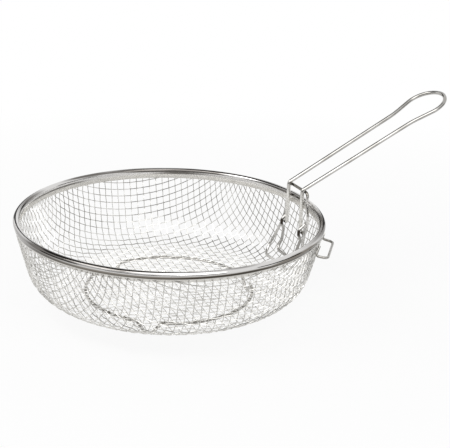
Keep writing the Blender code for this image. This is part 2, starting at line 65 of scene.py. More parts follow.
WEAVE_WIRE_R = 0.00034

RING_R = 0.00125
RING_INSET = 0.0176
FOOT_COUNT = 3
FOOT_AZIMUTH = math.radians(-5.7)
FOOT_HALF_FLAT = 0.0030
FOOT_SLOPE_RUN = 0.0065
FOOT_BEND = 0.0022
RING_STEP = math.radians(2)

HANDLE_R = 0.0016
HANDLE_TILT = math.radians(26.5)
RAIL_HALF_SPACING = 0.0114
NECK_HALF_SPACING = 0.0133
NECK_BEND = 0.040
NECK_TO_GRIP = 0.0223
GRIP_CENTRE_REACH = 0.1313
GRIP_RADIUS = 0.018
GRIP_STEPS = 28
PIN_DEPTH = 0.022
PIN_OVERHANG = 0.0010
PIN_BEND = 0.0022

BRACKET_R = 0.0012
STOP_INSET = 0.0049
STOP_HEIGHT = 0.0108
STOP_HALF_WIDTH = 0.0155
STOP_BEND = 0.0042
BRACKET_BEND = 0.0030
BRACKET_RIM_TOP = 0.0022
BRACKET_RIM_DEPTH = 0.0078
SHOULDER_HALF_WIDTH = 0.0186
SHOULDER_DEPTH = 0.0125
WAIST_PLAY = 0.0005
WAIST_BEND = 0.0080
WIDE_HALF_WIDTH = 0.0242
WIDE_RISE = 0.0158
WIDE_BEND = 0.0120
LOOP_FOOT_HALF_WIDTH = 0.0220
LOOP_FOOT_RISE = 0.0063
LOOP_FOOT_BEND = 0.0085
LOOP_STEP = 0.002

KEEPER_R = 0.0012
STRAP_BEND = 0.0026
STRAP_HALF_CROWN = 0.0020
STRAP_HALF_LENGTH = 0.0065
STRAP_TAIL = 0.0020
KEEPER_BEND = 0.0030
KEEPER_FOOT_HALF_WIDTH = 0.0130
KEEPER_FOOT_RISE = 0.0123
KEEPER_FOOT_BEND = 0.0045

HOOK_R = 0.0010
HOOK_AZIMUTH = math.radians(-36.7)
HOOK_STAND_OFF = 0.0080
HOOK_HALF_WIDTH = 0.0175
HOOK_ROOT_HALF_WIDTH = 0.0188
HOOK_BAR_DEPTH = 0.0140
HOOK_ROOT_DEPTH = 0.0125
HOOK_BEND = 0.0040
HOOK_TAB = 0.0050

# The hook's tabs end a little lower than in the frame, because they lie on the fine weave shown here
HOOK_TAB_DEPTH = 0.0062

# Fineness of the round shapes
ROUND_STEPS = 240
BEAD_STEPS = 28
HOLLOW_STEPS = 12
WIRE_SIDES = 20
BEND_STEP = math.radians(7)
SHARP_ANGLE = math.radians(50)
WEAVE_SIDES = 6
WEAVE_STEPS = 4
LEAST_WEAVE_STEP = 0.02
FEWEST_CROSSINGS = 3
NET_ROUNDS = 8

# How many pitches the net of the weave goes out from its middle, past the rim on every side
WEAVE_REACH = 41

# Finishes of the wires: dark and light tone, least and most roughness
FOOT_RING_FINISH = ((0.26, 0.25, 0.23), (0.40, 0.39, 0.37), 0.12, 0.20)
HANDLE_FINISH = ((0.35, 0.34, 0.32), (0.50, 0.49, 0.47), 0.06, 0.12)
BRACKET_FINISH = ((0.54, 0.53, 0.51), (0.76, 0.75, 0.73), 0.08, 0.16)
KEEPER_FINISH = ((0.42, 0.41, 0.39), (0.62, 0.61, 0.59), 0.30, 0.42)
HOOK_FINISH = ((0.30, 0.29, 0.27), (0.46, 0.45, 0.43), 0.08, 0.16)
WEAVE_FINISH = ((0.54, 0.53, 0.505), (0.76, 0.75, 0.725), 0.16, 0.30)

# Noises of the finishes: scale, detail and stretch per axis; bumps: depth and strength
PATCH_NOISE = (60.0, 3.0)
DRAW_NOISE = (2600.0, 2.0)
WEAVE_DRAW_NOISE = (4200.0, 2.0)
STREAK_NOISE = (13.0, 1.0, (1.0, 1.0, 24.0))
MARK_NOISE = (90.0, 4.0, (1.0, 1.0, 26.0))
FINE_NOISE = (900.0, 2.0)
NOISE_MIDDLE = (0.35, 0.65)
DRAW_BUMP = (0.00003, 0.35)
MARK_BUMP = (0.00008, 0.25)

# Where a wire has another tone: round which height, how far and which tone; on the handle's rails it is a
# painted reflection, at the keeper's pins painted shade, and on the bracket a darker stop bar
# The handle's rails are painted paler round this height: a painted reflection
PAINTED_REFLECTION_ON_RAILS = (RIM_HEIGHT - PIN_DEPTH / 3, 0.0220, (0.78, 0.77, 0.74))
# The bracket is darker round the stop bar's height
DARK_STOP_BAR = (RIM_HEIGHT + STOP_HEIGHT, 0.0030, (0.20, 0.19, 0.17))
# The keeper is painted nearly black round the pins' height, where each strap passes over a pin: painted shade
# in the gap
PAINTED_SHADE_AT_PINS = (RIM_HEIGHT - PIN_DEPTH, 0.0036, (0.06, 0.05, 0.04))

# Finish of the rim: tones from dark to light, and from where to where one tone gives way to the next; the
# bead's tones are painted reflections
SATIN_TONES = ((0.62, 0.605, 0.57), (0.80, 0.785, 0.75))
# Painted reflections on the bead's top: long streaks from dark to light
POLISHED_PAINTED_REFLECTION_TONES = ((0.16, 0.15, 0.14), (0.68, 0.67, 0.66))
# Painted dark reflection on the bead's underside, outside
UNDERSIDE_PAINTED_REFLECTION_TONES = ((0.042, 0.034, 0.025), (0.21, 0.19, 0.165))
SATIN_ROUGHNESS = (0.24, 0.34)
POLISHED_ROUGHNESS = (0.07, 0.14)
POLISHED_REFLECTION_STREAKS = (0.44, 0.58)
UNDERSIDE_REFLECTION_STREAKS = (0.44, 0.60)
BEAD_FOOT_HEIGHTS = (RIM_HEIGHT - 0.0028, RIM_HEIGHT - 0.0020)
UNDERSIDE_TOP_HEIGHTS = (RIM_HEIGHT - 0.0007, RIM_HEIGHT + 0.0003)
BEAD_CREST_RADII = (RIM_RADIUS - 0.0002, RIM_RADIUS + 0.0006)
# Where the painted dark reflection on the bead's underside rises higher, and how far
DARK_STRETCH_AZIMUTH = math.radians(-60)
DARK_STRETCH_RISE = 0.0017
DARK_STRETCH_REACH = (0.012, 0.034)

# Camera, fitted to the rim and the foot ring in the photograph
CAMERA_DISTANCE = 0.89153
CAMERA_ELEVATION = 0.352
CAMERA_ROLL = 0.034
CAMERA_RIGHT = 0.04251
CAMERA_UP = -0.00426
CAMERA_TURN = math.radians(-25.7)
PHOTO_WIDTH_PIXELS = 450
FOCAL_LENGTH_PIXELS = 1152
CAMERA_SENSOR = 36.0
CAMERA_LENS = CAMERA_SENSOR * FOCAL_LENGTH_PIXELS / PHOTO_WIDTH_PIXELS
CAMERA_FAR = 50.0

# Floor and world: the floor's share of plain white grows from under the basket outwards
WHITE = (1.0, 1.0, 1.0, 1.0)
FLOOR_SIZE = 12.0
FLOOR_TONE = 0.86
FLOOR_ROUGHNESS = 0.6
GLOW_SHARES = (0.86, 1.0)
GLOW_REACHES = (0.12, 0.60)
WORLD_LIGHT = 0.55

# Lamps: name, steps to the camera's right, forward and up from the rim's centre, size and power
LAMP_AIM = Vector((0.0, 0.0, 0.05))
LAMPS = (
    ("key", -0.9, -0.4, 1.3, (1.0, 0.8), 9.0),
    ("fill", 0.55, -1.1, 1.0, (0.9, 0.9), 4.0),
    ("top", 0.0, -0.65, 1.5, (1.2, 1.0), 7.0),
)

# Dark boards round the set: name, azimuth from the camera's right, reach, width and height
BOARD_TONE = 0.08
BOARD_ROUGHNESS = 0.9
BOARDS = (
    ("board_right", math.radians(-5), 1.6, 1.2, 0.60),
    ("board_back_right", math.radians(68), 1.7, 0.4, 0.70),
    ("board_back_left", math.radians(115), 1.7, 0.50, 1.70),
    ("board_left", math.radians(192), 1.6, 1.0, 0.60),
    ("board_front", math.radians(270), 1.4, 2.4, 0.45),
)
BOARD_ABOVE_SIDE = 0.60
BOARD_ABOVE_RISE = 1.60
BOARD_ABOVE_SIZE = (1.8, 1.5)

# Worked out from the sizes above
STOP_RADIUS = RIM_RADIUS - STOP_INSET
HOOK_REACH = RIM_RADIUS + HOOK_STAND_OFF
NECK_REACH = GRIP_CENTRE_REACH - NECK_TO_GRIP
BEND_TURN = math.pi / 2 - WALL_TAPER
CORNER_RUN = CORNER_RADIUS * math.tan(BEND_TURN / 2)
BREAK_RUN = BREAK_RADIUS * math.tan(WALL_TAPER / 2)
FLOOR_CORNER = RIM_RADIUS - math.tan(WALL_TAPER) * (FLOOR_DEPTH - WALL_BREAK_DEPTH)
FLOOR_FLAT = FLOOR_CORNER - CORNER_RUN
RING_RADIUS = FLOOR_FLAT - RING_INSET
CORNER_TOP_DEPTH = FLOOR_DEPTH - CORNER_RUN * math.cos(WALL_TAPER)
WALL_LENGTH = (CORNER_TOP_DEPTH - WALL_BREAK_DEPTH) / math.cos(WALL_TAPER) - BREAK_RUN
WALL_FOOT_RADIUS = FLOOR_FLAT + CORNER_RADIUS * math.sin(BEND_TURN)
WALL_FOOT_HEIGHT = CORNER_RADIUS * (1 - math.cos(BEND_TURN))
WALL_TOP_HEIGHT = WALL_FOOT_HEIGHT + WALL_LENGTH * math.cos(WALL_TAPER)
BREAK_HEIGHT = WALL_TOP_HEIGHT + BREAK_RADIUS * math.sin(WALL_TAPER)
WIDE_DEPTH = FLOOR_DEPTH - WIDE_RISE
LOOP_FOOT_DEPTH = FLOOR_DEPTH - LOOP_FOOT_RISE
KEEPER_FOOT_DEPTH = FLOOR_DEPTH - KEEPER_FOOT_RISE
KEEPER_KNEE_DEPTH = max(CORNER_TOP_DEPTH, PIN_DEPTH + STRAP_HALF_LENGTH + KEEPER_BEND)
STRAP_HALF_SPACING = RAIL_HALF_SPACING + HANDLE_R + KEEPER_R + SIDE_PLAY
PIN_HALF_SPAN = STRAP_HALF_SPACING + KEEPER_R + PIN_OVERHANG
WAIST_HALF_WIDTH = PIN_HALF_SPAN + WAIST_PLAY + BRACKET_R


# Paths
def rounded(corners, closed=False):
    """Points of a polyline whose corners, given as (point, bend radius), are rounded by arcs."""
    points = []
    count = len(corners)
    for index, (corner, radius) in enumerate(corners):
        at_end = not closed and index in (0, count - 1)
        if at_end or radius == 0.0:
            points.append(corner.copy())
            continue
        before = (corner - corners[index - 1][0]).normalized()
        after = (corners[(index + 1) % count][0] - corner).normalized()
        turn = before.angle(after)
        run = radius * math.tan(turn / 2)
        centre = corner + (after - before).normalized() * radius / math.cos(turn / 2)
        first = corner - before * run - centre
        last = corner + after * run - centre
        steps = max(2, math.ceil(turn / BEND_STEP))
        for step in range(steps + 1):
            angle = turn * step / steps
            mix = first * math.sin(turn - angle) + last * math.sin(angle)
            points.append(centre + mix / math.sin(turn))
    return points


def mirrored(half):
    """The corners of one half and, in turn, of the other half across the handle's plane."""
    other = [(Vector((point.x, -point.y, point.z)), radius) for point, radius in reversed(half)]
    return half + other


def arc(radius, start, end, steps):
    """Points of an arc about the origin, as pairs."""
    angles = [start + (end - start) * step / steps for step in range(steps + 1)]
    return [(radius * math.cos(angle), radius * math.sin(angle)) for angle in angles]


def finely(path, longest):
    """The path with its straight runs cut into steps no longer than longest."""
    result = []
    for start, end in zip(path, path[1:]):
        steps = max(1, math.ceil((end - start).length / longest))
        result += [start.lerp(end, step / steps) for step in range(steps)]
    return result + [path[-1]]


# Meshes
def add_mesh(name, vertices, faces, material):
    """A smooth mesh object that stays sharp at its real edges."""
    mesh = bpy.data.meshes.new(name)
    mesh.from_pydata(vertices, [], faces)
    mesh.materials.append(material)
    mesh.shade_smooth()
    mesh.set_sharp_from_angle(angle=SHARP_ANGLE)
    obj = bpy.data.objects.new(name, mesh)
    bpy.context.scene.collection.objects.link(obj)
    return obj


def ring_faces(rings, sides, closed, start=0):
    """Quads round a tube of rings, with end caps when it is open."""
    spans = rings if closed else rings - 1
    ring = np.arange(spans)[:, None]
    side = np.arange(sides)[None, :]
    after = (side + 1) % sides
    ahead = (ring + 1) % rings
    here, there = ring * sides, ahead * sides
    quads = np.stack([here + side, here + after, there + after, there + side], axis=-1)
    faces = (quads.reshape(-1, 4) + start).tolist()
    if not closed:
        faces.append([start + corner for corner in reversed(range(sides))])
        faces.append([start + (rings - 1) * sides + corner for corner in range(sides)])
    return faces


def tube_rings(path, radius, normals, sides, closed=False):
    """Vertices of a round tube whose section is turned by the given normals."""
    path = np.asarray(path, float)
    if closed:
        ahead = np.roll(path, -1, axis=0) - path
        behind = np.roll(ahead, 1, axis=0)
    else:
        ahead = np.diff(path, axis=0)
        ahead = np.vstack([ahead, ahead[-1]])
        behind = np.vstack([ahead[0], ahead[:-1]])
    ahead = ahead / np.linalg.norm(ahead, axis=1, keepdims=True)
    behind = behind / np.linalg.norm(behind, axis=1, keepdims=True)
    along = ahead + behind
    along /= np.linalg.norm(along, axis=1, keepdims=True)
    normal = normals - along * np.sum(normals * along, axis=1, keepdims=True)
    normal /= np.linalg.norm(normal, axis=1, keepdims=True)
    across = np.cross(along, normal)
    angles = 2 * np.pi * (np.arange(sides) + 0.5) / sides
    cosines, sines = np.cos(angles)[None, :, None], np.sin(angles)[None, :, None]
    ring = normal[:, None] * cosines + across[:, None] * sines
    return (path[:, None] + radius * ring).reshape(-1, 3)


def carried_normals(path, first, closed=False):
    """Normals carried along a path without twist."""
    result = []
    side = first
    count = len(path)
    for index, point in enumerate(path):
        before = point - path[index - 1] if closed or index > 0 else Vector()
        after = path[(index + 1) % count] - point if closed or index < count - 1 else Vector()
        along = (before.normalized() + after.normalized()).normalized()
        side = (side - along * side.dot(along)).normalized()
        result.append(side)
    return result


def wire(name, path, radius, first, material, closed=False, normals=None):
    """A round wire along a path; its section starts from the direction first, or follows the normals."""
    normals = normals or carried_normals(path, first, closed)
    points = np.array([tuple(point) for point in path])
    vertices = tube_rings(points, radius, np.array([tuple(n) for n in normals]), WIRE_SIDES, closed)
    return add_mesh(name, vertices.tolist(), ring_faces(len(path), WIRE_SIDES, closed), material)


# Shape of the bowl
def wall_radius(depth, inset):
    """Radius at one depth of the surface that lies inset inside the mesh's middle surface."""
    if depth > CORNER_TOP_DEPTH:
        rise = depth - (FLOOR_DEPTH - CORNER_RADIUS)
        return FLOOR_FLAT + math.sqrt((CORNER_RADIUS - inset) ** 2 - rise ** 2)
    leaned = RIM_RADIUS - math.tan(WALL_TAPER) * (depth - WALL_BREAK_DEPTH)
    return min(RIM_RADIUS - inset, leaned - inset / math.cos(WALL_TAPER))


def on_wall(lateral, depth, wire_radius):
    """Centre of a wire that lies against the inside of the wall below the handle."""
    radius = wall_radius(depth, HALF_MESH + GAP + FACET_SAG + wire_radius)
    return Vector((math.sqrt(radius ** 2 - lateral ** 2), lateral, -depth))


def bowl_profile(length):
    """Radius, height above the floor and slope of the weave, length metres out from its centre."""
    if length < FLOOR_FLAT:
        return length, 0.0, 0.0
    length -= FLOOR_FLAT
    if length < CORNER_RADIUS * BEND_TURN:
        slope = length / CORNER_RADIUS
        return FLOOR_FLAT + CORNER_RADIUS * math.sin(slope), CORNER_RADIUS * (1 - math.cos(slope)), slope
    length -= CORNER_RADIUS * BEND_TURN
    if length < WALL_LENGTH:
        radius = WALL_FOOT_RADIUS + length * math.sin(WALL_TAPER)
        return radius, WALL_FOOT_HEIGHT + length * math.cos(WALL_TAPER), BEND_TURN
    length -= WALL_LENGTH
    if length < BREAK_RADIUS * WALL_TAPER:
        left = WALL_TAPER - length / BREAK_RADIUS
        radius = RIM_RADIUS - BREAK_RADIUS + BREAK_RADIUS * math.cos(left)
        return radius, BREAK_HEIGHT - BREAK_RADIUS * math.sin(left), math.pi / 2 - left
    return RIM_RADIUS, BREAK_HEIGHT + length - BREAK_RADIUS * WALL_TAPER, math.pi / 2


def surface_point(length, azimuth):
    """The point of the weave there, with its radius and slope."""
    radius, height, slope = bowl_profile(length)
    point = Vector((radius * math.cos(azimuth), radius * math.sin(azimuth), height - FLOOR_DEPTH))
    return point, radius, slope


def net_step(one, two, guess):
    """The point on the bowl one pitch from both of two neighbours, as (length, azimuth)."""
    length, azimuth = guess
    for _ in range(NET_ROUNDS):
        point, radius, slope = surface_point(length, azimuth)
        outward = Vector((math.cos(azimuth), math.sin(azimuth), 0.0))
        along = outward * math.cos(slope) + Vector((0.0, 0.0, math.sin(slope)))
        around = Vector((-outward.y, outward.x, 0.0)) * radius
        first = point - one
        second = point - two
        first_along, first_around = first.dot(along), first.dot(around)
        second_along, second_around = second.dot(along), second.dot(around)
        first_excess = (first.length_squared - WEAVE_PITCH ** 2) / 2
        second_excess = (second.length_squared - WEAVE_PITCH ** 2) / 2
        size = first_along * second_around - first_around * second_along
        length -= (first_excess * second_around - first_around * second_excess) / size
        azimuth -= (first_along * second_excess - first_excess * second_along) / size
    return length, azimuth


def weave_quarter():
    """Crossings of one quarter of a square weave pressed into the bowl: every side stays one pitch long."""
    reach = WEAVE_REACH
    net = {}
    for step in range(reach + 1):
        net[step, 0] = (step * WEAVE_PITCH, 0.0)
        net[0, step] = (step * WEAVE_PITCH, math.pi / 2)
    for total in range(2, 2 * reach + 1):
        for row in range(max(1, total - reach), min(reach, total - 1) + 1):
            column = total - row
            beside, below, back = net[row - 1, column], net[row, column - 1], net[row - 1, column - 1]
            one, two = surface_point(*beside)[0], surface_point(*below)[0]
            ahead = one + two - surface_point(*back)[0]
            guess = beside[0] + below[0] - back[0], math.atan2(ahead.y, ahead.x)
            net[row, column] = net_step(one, two, guess)
    quarter = np.zeros((reach + 1, reach + 1, 3))
    for crossing, place in net.items():
        quarter[crossing] = surface_point(*place)[0]
    return quarter


def whole_weave():
    """All crossings and their inward normals, indexed from -WEAVE_REACH in both directions."""
    quarter = weave_quarter()
    steps = np.arange(-WEAVE_REACH, WEAVE_REACH + 1)
    points = quarter[np.abs(steps)][:, np.abs(steps)].copy()
    points[..., 0] *= np.sign(steps)[:, None]
    points[..., 1] *= np.sign(steps)[None, :]
    turn = np.array(Matrix.Rotation(WEAVE_AZIMUTH, 3, "Z"))
    points = points @ turn.T
    warp = np.gradient(points, axis=0)
    weft = np.gradient(points, axis=1)
    normals = np.cross(warp, weft)
    normals /= np.linalg.norm(normals, axis=-1, keepdims=True)
    return points, normals


def smooth_between(values, times):
    """A curve through evenly spaced values, read at the given times."""
    index = np.clip(np.floor(times).astype(int), 1, len(values) - 3)
    share = (times - index)[:, None]
    before, here, ahead, beyond = (values[index + step] for step in (-1, 0, 1, 2))
    return 0.5 * (2 * here + (ahead - before) * share
                  + (2 * before - 5 * here + 4 * ahead - beyond) * share ** 2
                  + (3 * here - before - 3 * ahead + beyond) * share ** 3)


def weave_wires(points, normals, over_first):
    """Vertices and faces of all wires that run along the first index, crimped over and under each other."""
    vertices = []
    faces = []
    start = 0
    top = -MESH_TOP_DEPTH - WEAVE_WIRE_R
    for row in range(points.shape[1]):
        line = points[:, row]
        inside = np.flatnonzero(line[:, 2] < top)
        if len(inside) < FEWEST_CROSSINGS:
            continue
        first, last = inside[0] - 1, inside[-1] + 1
        begin = first + (top - line[first, 2]) / (line[first + 1, 2] - line[first, 2])
        end = last - 1 + (top - line[last - 1, 2]) / (line[last, 2] - line[last - 1, 2])
        middle = np.arange(math.ceil(begin * WEAVE_STEPS), math.floor(end * WEAVE_STEPS) + 1) / WEAVE_STEPS
        times = np.concatenate([[begin], middle, [end]])
        times = times[np.append(True, np.diff(times) > LEAST_WEAVE_STEP)]
        path = smooth_between(line, times)
        side = smooth_between(normals[:, row], times)
        lift = WEAVE_WIRE_R * np.cos(np.pi * (times + row + over_first))
        path = path + side * lift[:, None]
        rings = tube_rings(path, WEAVE_WIRE_R, side, WEAVE_SIDES)
        vertices.append(rings)
        faces += ring_faces(len(times), WEAVE_SIDES, False, start)
        start += len(rings)
    return np.vstack(vertices).tolist(), faces


# Materials
def principled(name):
    """A new material with its nodes, links and shader."""
    material = bpy.data.materials.new(name)
    material.use_nodes = True
    nodes = material.node_tree.nodes
    return material, nodes, material.node_tree.links, nodes["Principled BSDF"]


def steel(name):
    """A new metal material with its nodes, links and shader."""
    material, nodes, links, shader = principled(name)
    shader.inputs["Metallic"].default_value = 1.0
    return material, nodes, links, shader


def feed(links, value, socket):
    """Link another node's output to a socket, or set a tone or number on it."""
    if isinstance(value, bpy.types.NodeSocket):
        links.new(value, socket)
    elif isinstance(value, tuple):
        socket.default_value = (*value, 1.0)
    else:
        socket.default_value = value


def object_place(nodes):
    """The place in the object's own space."""
    return nodes.new("ShaderNodeTexCoord").outputs["Object"]


def split_place(nodes, links):
    """The place in the object's own space, as x, y and z."""
    split = nodes.new("ShaderNodeSeparateXYZ")
    links.new(object_place(nodes), split.inputs["Vector"])
    return split.outputs["X"], split.outputs["Y"], split.outputs["Z"]


def calculated(nodes, links, operation, *values):
    """The result of a maths node on other nodes' outputs or numbers."""
    node = nodes.new("ShaderNodeMath")
    node.operation = operation
    for value, socket in zip(values, node.inputs):
        feed(links, value, socket)
    return node.outputs[0]


def distance(nodes, links, place, point):
    """How far a place is from one point."""
    node = nodes.new("ShaderNodeVectorMath")
    node.operation = "DISTANCE"
    node.inputs[1].default_value = point
    links.new(place, node.inputs[0])
    return node.outputs["Value"]


def noise(nodes, links, scale, detail, stretch=(1.0, 1.0, 1.0)):
    """A noise in the object's own space, stretched per axis."""
    mapping = nodes.new("ShaderNodeMapping")
    mapping.inputs["Scale"].default_value = stretch
    texture = nodes.new("ShaderNodeTexNoise")
    texture.inputs["Scale"].default_value = scale
    texture.inputs["Detail"].default_value = detail
    links.new(object_place(nodes), mapping.inputs["Vector"])
    links.new(mapping.outputs["Vector"], texture.inputs["Vector"])
    return texture.outputs["Fac"]


def ranged(nodes, links, value, low, high, span=NOISE_MIDDLE):
    """From low to high while the value goes through the span, and level outside it."""
    node = nodes.new("ShaderNodeMapRange")
    node.inputs["From Min"].default_value, node.inputs["From Max"].default_value = span
    node.inputs["To Min"].default_value = low
    node.inputs["To Max"].default_value = high
    links.new(value, node.inputs["Value"])
    return node.outputs["Result"]


def mixed(nodes, links, share, first, second):
    """The first tone where the share is 0 and the second where it is 1; each may be a node's output."""
    mix = nodes.new("ShaderNodeMix")
    mix.data_type = "RGBA"
    links.new(share, mix.inputs[0])
    feed(links, first, mix.inputs[6])
    feed(links, second, mix.inputs[7])
    return mix.outputs[2]


def bumped(nodes, links, height, depth, strength):
    """The surface's direction with small bumps of the given depth."""
    bump = nodes.new("ShaderNodeBump")
    bump.inputs["Distance"].default_value = depth
    bump.inputs["Strength"].default_value = strength
    links.new(height, bump.inputs["Height"])
    return bump.outputs["Normal"]


def wire_steel(name, finish, draw=DRAW_NOISE, other=None):
    """Drawn steel wire: a patchy tone, fine draw marks and, round one height, another tone, which on the
    handle's rails is a painted reflection and at the keeper's pins painted shade.
    """
    dark, light, smooth, rough = finish
    material, nodes, links, shader = steel(name)
    patches = noise(nodes, links, *PATCH_NOISE)
    marks = noise(nodes, links, *draw)
    colour = mixed(nodes, links, ranged(nodes, links, patches, 0.0, 1.0), dark, light)
    # Round one height another tone: a painted reflection on the rails, painted shade at the keeper's pins, a
    # darker stop bar on the bracket
    if other:
        height, reach, tone = other
        away = calculated(nodes, links, "SUBTRACT", split_place(nodes, links)[2], height)
        apart = calculated(nodes, links, "ABSOLUTE", away)
        colour = mixed(nodes, links, ranged(nodes, links, apart, 0.0, 1.0, (reach / 2, reach)), tone, colour)
    links.new(colour, shader.inputs["Base Color"])
    links.new(ranged(nodes, links, marks, smooth, rough), shader.inputs["Roughness"])
    links.new(bumped(nodes, links, marks, *DRAW_BUMP), shader.inputs["Normal"])
    return material


def upper_bead(nodes, links, centre):
    """1 on the bead's top, with its painted streaks of reflection, and 0 on its underside, outside, painted
    dark as a reflection, which rises in one stretch.
    """
    x, y, z = split_place(nodes, links)
    stretch = (centre.x + RIM_RADIUS * math.cos(DARK_STRETCH_AZIMUTH),
               centre.y + RIM_RADIUS * math.sin(DARK_STRETCH_AZIMUTH), RIM_HEIGHT)
    from_stretch = distance(nodes, links, object_place(nodes), stretch)
    rise = ranged(nodes, links, from_stretch, DARK_STRETCH_RISE, 0.0, DARK_STRETCH_REACH)
    lowered = calculated(nodes, links, "SUBTRACT", z, rise)
    upper = ranged(nodes, links, lowered, 0.0, 1.0, UNDERSIDE_TOP_HEIGHTS)
    level = nodes.new("ShaderNodeCombineXYZ")
    links.new(x, level.inputs["X"])
    links.new(y, level.inputs["Y"])
    from_axis = distance(nodes, links, level.outputs["Vector"], (centre.x, centre.y, 0.0))
    inside = ranged(nodes, links, from_axis, 1.0, 0.0, BEAD_CREST_RADII)
    return calculated(nodes, links, "MAXIMUM", upper, inside)


def rim_steel(centre):
    """Polished bead with long dark and light streaks of painted reflection and a painted dark reflection on
    its underside, over a warm satin band inside the bowl.
    """
    material, nodes, links, shader = steel("rim_polished_steel")
    bead = ranged(nodes, links, split_place(nodes, links)[2], 0.0, 1.0, BEAD_FOOT_HEIGHTS)
    streaks = noise(nodes, links, *STREAK_NOISE)
    marks = noise(nodes, links, *MARK_NOISE)
    fine = noise(nodes, links, *FINE_NOISE)
    # Painted reflections: dark and light streaks on the bead's top, a nearly black band on its underside
    polished_share = ranged(nodes, links, streaks, 0.0, 1.0, POLISHED_REFLECTION_STREAKS)
    polished = mixed(nodes, links, polished_share, *POLISHED_PAINTED_REFLECTION_TONES)
    underside_share = ranged(nodes, links, streaks, 0.0, 1.0, UNDERSIDE_REFLECTION_STREAKS)
    underside = mixed(nodes, links, underside_share, *UNDERSIDE_PAINTED_REFLECTION_TONES)
    round_bead = mixed(nodes, links, upper_bead(nodes, links, centre), underside, polished)
    satin = mixed(nodes, links, ranged(nodes, links, marks, 0.0, 1.0), *SATIN_TONES)
    links.new(mixed(nodes, links, bead, satin, round_bead), shader.inputs["Base Color"])
    roughness = nodes.new("ShaderNodeMix")
    links.new(bead, roughness.inputs[0])
    links.new(ranged(nodes, links, fine, *SATIN_ROUGHNESS), roughness.inputs[2])
    links.new(ranged(nodes, links, marks, *POLISHED_ROUGHNESS), roughness.inputs[3])
    links.new(roughness.outputs[0], shader.inputs["Roughness"])
    links.new(bumped(nodes, links, marks, *MARK_BUMP), shader.inputs["Normal"])
    return material


# Pieces, built about the bead circle's centre
def make_rim(centre):
    """The strip's section, a rolled bead with a fold for the mesh, turned round the bowl."""
    sheet = RIM_SHEET / 2
    leg = HALF_MESH + GAP + sheet
    outer = math.acos((leg + sheet) / BEAD_RADIUS)
    hollow_radius = BEAD_RADIUS - RIM_SHEET
    inner = math.acos((leg - sheet) / hollow_radius)
    section = [(-leg - sheet, -INNER_BAND_DEPTH)]
    section += arc(BEAD_RADIUS, math.pi + outer, -outer, BEAD_STEPS)
    section += [(leg + sheet, -OUTER_LIP_DEPTH), (leg - sheet, -OUTER_LIP_DEPTH)]
    section += arc(hollow_radius, -inner, math.pi + inner, HOLLOW_STEPS)
    section += [(-leg + sheet, -INNER_BAND_DEPTH)]
    across, up = (np.array(section) + [RIM_RADIUS, 0.0]).T
    angles = 2 * np.pi * np.arange(ROUND_STEPS)[:, None] / ROUND_STEPS
    up = np.broadcast_to(up, (ROUND_STEPS, len(section)))
    vertices = np.stack([across * np.cos(angles), across * np.sin(angles), up], axis=-1)
    faces = ring_faces(ROUND_STEPS, len(section), True)
    return add_mesh("rim_strip", vertices.reshape(-1, 3).tolist(), faces, rim_steel(centre))


def make_foot_ring():
    """A level ring under the bowl's floor with a dip for each foot."""
    height = -FLOOR_DEPTH - HALF_MESH - GAP - RING_R
    foot_height = -RIM_HEIGHT + RING_R
    half_foot = (FOOT_HALF_FLAT + FOOT_SLOPE_RUN) / RING_RADIUS
    half_flat = FOOT_HALF_FLAT / RING_RADIUS
    open_arc = 2 * math.pi / FOOT_COUNT - 2 * half_foot
    steps = math.ceil(open_arc / RING_STEP)
    corners = []
    for foot in range(FOOT_COUNT):
        middle = FOOT_AZIMUTH + foot * 2 * math.pi / FOOT_COUNT
        stops = [(middle - half_foot, height, FOOT_BEND), (middle - half_flat, foot_height, FOOT_BEND)]
        stops += [(middle + half_flat, foot_height, FOOT_BEND), (middle + half_foot, height, FOOT_BEND)]
        stops += [(middle + half_foot + open_arc * step / steps, height, 0.0) for step in range(2, steps - 1)]
        for angle, level, bend in stops:
            x, y = RING_RADIUS * math.cos(angle), RING_RADIUS * math.sin(angle)
            corners.append((Vector((x, y, level)), bend))
    path = rounded(corners, closed=True)
    outward = [Vector((point.x, point.y, 0.0)).normalized() for point in path]
    material = wire_steel("foot_ring_wire_steel", FOOT_RING_FINISH)
    return wire("foot_ring_wire", path, RING_R, None, material, closed=True, normals=outward)


def pin_axis():
    """Middle of the handle's two pins, as far out as the wall lets them lie."""
    wall = on_wall(PIN_HALF_SPAN, PIN_DEPTH, HANDLE_R)
    return Vector((wall.x, 0.0, -PIN_DEPTH))


